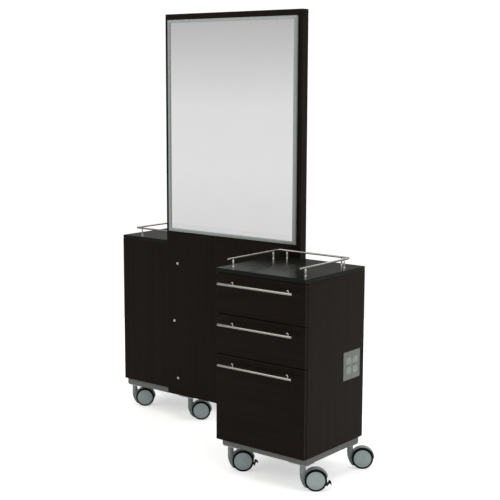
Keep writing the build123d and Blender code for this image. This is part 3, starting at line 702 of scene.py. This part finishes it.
def melted(name, bm):
    """One mesh of overlapping closed solids, their joins softened."""
    rough = bpy.data.objects.new(name, to_mesh(name, bm))
    bpy.context.scene.collection.objects.link(rough)
    remesh = rough.modifiers.new("remesh", "REMESH")
    remesh.mode = "VOXEL"
    remesh.voxel_size = VOXEL
    smooth = rough.modifiers.new("smooth", "SMOOTH")
    smooth.factor = 0.5
    smooth.iterations = 5
    thin = rough.modifiers.new("thin", "DECIMATE")
    thin.ratio = 0.2
    graph = bpy.context.evaluated_depsgraph_get()
    mesh = bpy.data.meshes.new_from_object(rough.evaluated_get(graph))
    bpy.data.objects.remove(rough)
    mesh.name = name
    return mesh


def tyre_section(way):
    """(radius, height) loop of one tyre, with three shallow grooves round its tread."""
    inner, outer = WHEEL_IN, WHEEL_OUT - TYRE_SHORT
    tread_r = WHEEL_R - TYRE_EDGE
    side_r = WHEEL_R - 3 * MM
    loop = [(DISC_R, inner), (side_r, inner)]
    loop += arc((tread_r, inner + TYRE_EDGE), TYRE_EDGE, -80, 0, 5)
    for share in TREAD_GROOVES:
        middle = inner + (outer - inner) * share
        floor = WHEEL_R - GROOVE_DEEP
        loop += [(WHEEL_R, middle - GROOVE_HALF), (floor, middle - GROOVE_FLOOR_HALF)]
        loop += [(floor, middle + GROOVE_FLOOR_HALF), (WHEEL_R, middle + GROOVE_HALF)]
    loop += arc((tread_r, outer - TYRE_EDGE), TYRE_EDGE, 0, 80, 5)
    loop += [(side_r, outer), (DISC_R + TYRE_LIP, outer), (DISC_R, outer - TYRE_LIP)]
    return [(r, way * h) for r, h in loop]


def disc_profile(way):
    """(radius, height) of one disc: a rolled rim, a shallow groove and a gently domed middle."""
    inside, rim = WHEEL_IN + 1 * MM, WHEEL_OUT - DISC_RIM_DOWN
    points = [(0, inside), (DISC_R - 1 * MM, inside), (DISC_R, inside + 1 * MM), (DISC_R, rim)]
    points += arc((DISC_R - DISC_RIM_R, rim), DISC_RIM_R, 20, 90, 4)
    points += [(DISC_R - inward * MM, WHEEL_OUT - down * MM) for inward, down in DISC_GROOVE]
    points += [(radius * MM, WHEEL_OUT - down * MM) for radius, down in DISC_DOME]
    return [(r, way * h) for r, h in points]


def wheel_meshes():
    """A pair of tyres, and a pair of discs on their axle, turned round the local Z axis."""
    tyres, discs = bmesh.new(), bmesh.new()
    for way in (-1, 1):
        closed_lathe(tyres, tyre_section(way), Matrix.Identity(4), 96)
        lathe(discs, disc_profile(way), Matrix.Identity(4), 96)
    axle = [(0, -AXLE_END), (AXLE_R, -AXLE_END), (AXLE_R, AXLE_END), (0, AXLE_END)]
    lathe(discs, axle, Matrix.Identity(4), 32)
    return to_mesh("tyres", tyres), to_mesh("discs", discs)


def casters():
    """Eight casters; the forks of a kind and all wheels share their meshes."""
    tyres = discs = None
    forks = {}
    for half in ("right", "left"):
        for row in ("front", "back"):
            for side in ("inner", "outer"):
                name = f"{half}_{row}_{side}"
                place, trail = caster_place(name)
                kind = "braked" if row == "front" else "plain"
                pin = None
                if kind == "braked":
                    hinge = place.inverted() @ Vector(JOINTS[f"{name}_brake_press"]["pos_m"])
                    pin = (hinge.x, hinge.z)
                if kind not in forks:
                    forks[kind] = fork_mesh(f"{kind}_fork", trail, HOOD_START[kind], pin)
                put(f"{name}_fork_moulding", forks[kind], CASTER_GREY, f"{name}_caster",
                    (f"{name}_caster_fork",), place, 40)
                if tyres is None:
                    tyres, discs = wheel_meshes()
                axle = place @ Matrix.Translation((trail, 0, WHEEL_R)) @ Matrix.Rotation(-pi / 2, 4, "X")
                body, node = f"{name}_wheels", f"{name}_caster_wheels"
                put(f"{name}_tyres", tyres, TYRE_BLACK, body, (node,), axle)
                put(f"{name}_discs", discs, DISC_GREY, body, (node,), axle, 28)
                if kind == "braked":
                    brake_lever(name, place @ Matrix.Translation((pin[0], 0, pin[1])), side == "outer")


def brake_lever(name, place, pressed):
    """A black hooked foot lever with three grip ribs across its pedal."""
    place = place @ Matrix.Rotation(radians(LEVER_TILT[pressed]), 4, "Y")
    bm = bmesh.new()
    prism(bm, arc((0, 0), BARREL_R, 0, 360, 32)[:-1], -BARREL_HALF, BARREL_HALF)
    for outline, half in ((ARM, ARM_HALF), (PEDAL_HOOK + PEDAL_PALM + PEDAL_HEEL, PEDAL_HALF)):
        prism(bm, [(x * MM, z * MM) for x, z in outline], -half, half)
    for x, z in PEDAL_RIBS:
        prism(bm, arc((x * MM, z * MM), RIB_R, 0, 360, 12)[:-1], -RIB_HALF, RIB_HALF)
    node = f"{name}_brake_lever"
    lever = put(f"{name}_pedal", bm, LEVER_BLACK, f"{name}_brake", (node,), place, 30)
    edge = lever.modifiers.new("edge", "BEVEL")
    edge.width = PEDAL_EASE
    edge.segments = 3
    edge.limit_method = "ANGLE"
    edge.angle_limit = radians(40)


# ---- CAD nodes that stay --------------------------------------------------------------------------
def dress_nodes():
    """Finishes for the CAD nodes that stay in view."""
    dress(WOOD_UPRIGHT, "mirror_panel")
    dress(MIRROR, "front_mirror", "rear_mirror")
    dress(NICKEL, "panel_bolts")
    dress(PLATE_STEEL, "outlet_plates")
    dress(SOCKET_GREY, "outlet_boxes")
    dress(ZINC, "caster_plates", "drawer_tracks")
    for half in ("right", "left"):
        dress(WOOD_UPRIGHT, f"{half}_cabinet_sides", f"{half}_cabinet_back")
        dress(WOOD_ACROSS, f"{half}_cabinet_bottom")
        dress(WOOD_TOP, f"{half}_worktop")
        for drawer in ("top", "middle", "bottom"):
            dress(WOOD_ACROSS, f"{half}_{drawer}_drawer_face")
            dress(BIRCH, f"{half}_{drawer}_drawer_box")


# ---- The scene ------------------------------------------------------------------------------------
bpy.context.scene.view_settings.view_transform = "Standard"
add_camera()
add_world()
add_floor()
for light in LIGHTS:
    add_light(*light)
dress_nodes()
mirror_frames()
base_frames()
drawer_handles()
gallery_rails()
casters()
